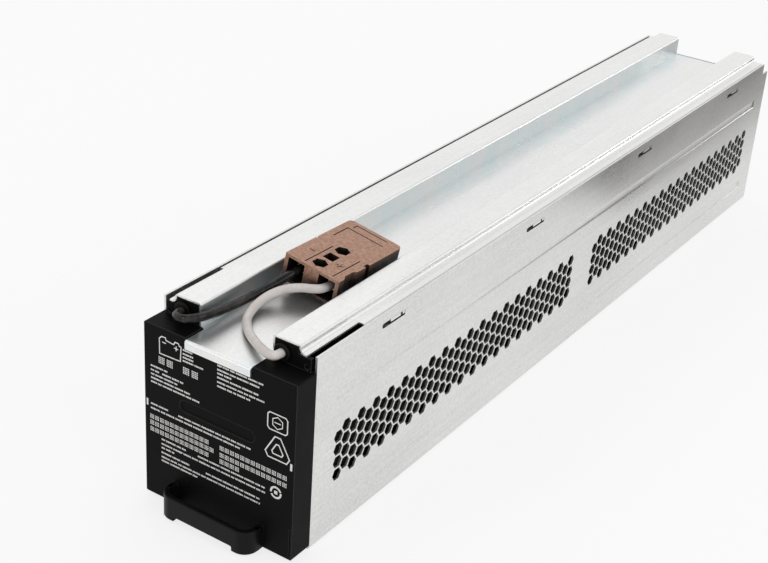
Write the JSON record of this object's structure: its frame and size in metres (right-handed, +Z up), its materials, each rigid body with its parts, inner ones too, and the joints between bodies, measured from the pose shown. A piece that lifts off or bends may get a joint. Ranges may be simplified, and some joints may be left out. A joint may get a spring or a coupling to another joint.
{
  "type": "ups battery cartridge",
  "caption": "Long steel tray of sealed battery blocks under a ridged cover with a central valley, a black front with a pull loop, and short leads to a two-pole plug lying in the valley.",
  "frame": {"origin": "centre of the tray's flat underside", "axes": "+Z up, +Y along the tray towards its rear wall, so the front with the handle faces -Y and +X is the side with the hexagonal holes"},
  "size_m": [0.096, 0.597, 0.1265],
  "materials": {
    "galvanised_steel": "zinc-coated sheet, satin",
    "black_moulding": "fine texture",
    "handle_moulding": "smooth satin",
    "black_rubber": "matte",
    "battery_case": "moulded",
    "terminal_tin": "tinned",
    "boot_vinyl": "matte",
    "jumper_insulation": "matte",
    "black_insulation": "satin",
    "grey_insulation": "satin",
    "foam": "open cell",
    "connector_shell": "moulded, satin",
    "contact_silver": "plated",
    "spring_steel": "polished"
  },
  "bodies": {
    "root": {"tray": "galvanised_steel", "latch_strips": "galvanised_steel", "top_cover": "galvanised_steel", "front_bezel": "black_moulding", "pull_handle": "handle_moulding", "left_grommet": "black_rubber", "right_grommet": "black_rubber", "battery_1": "battery_case", "battery_1_terminals": "terminal_tin", "battery_2": "battery_case", "battery_2_terminals": "terminal_tin", "battery_3": "battery_case", "battery_3_terminals": "terminal_tin", "battery_4": "battery_case", "battery_4_terminals": "terminal_tin", "battery_5": "battery_case", "battery_5_terminals": "terminal_tin", "battery_6": "battery_case", "battery_6_terminals": "terminal_tin", "battery_7": "battery_case", "battery_7_terminals": "terminal_tin", "battery_8": "battery_case", "battery_8_terminals": "terminal_tin", "terminal_boots": "boot_vinyl", "jumper_1": "jumper_insulation", "jumper_2": "jumper_insulation", "jumper_3": "jumper_insulation", "jumper_4": "jumper_insulation", "jumper_5": "jumper_insulation", "jumper_6": "jumper_insulation", "jumper_7": "jumper_insulation", "cross_strap": "terminal_tin", "negative_inner_lead": "black_insulation", "positive_inner_lead": "grey_insulation", "front_foam": "foam", "rear_foam": "foam", "connector_housing": "connector_shell", "negative_contact": "contact_silver", "positive_contact": "contact_silver", "contact_springs": "spring_steel", "negative_lead": "black_insulation", "positive_lead": "grey_insulation"}
  },
  "joints": []
}
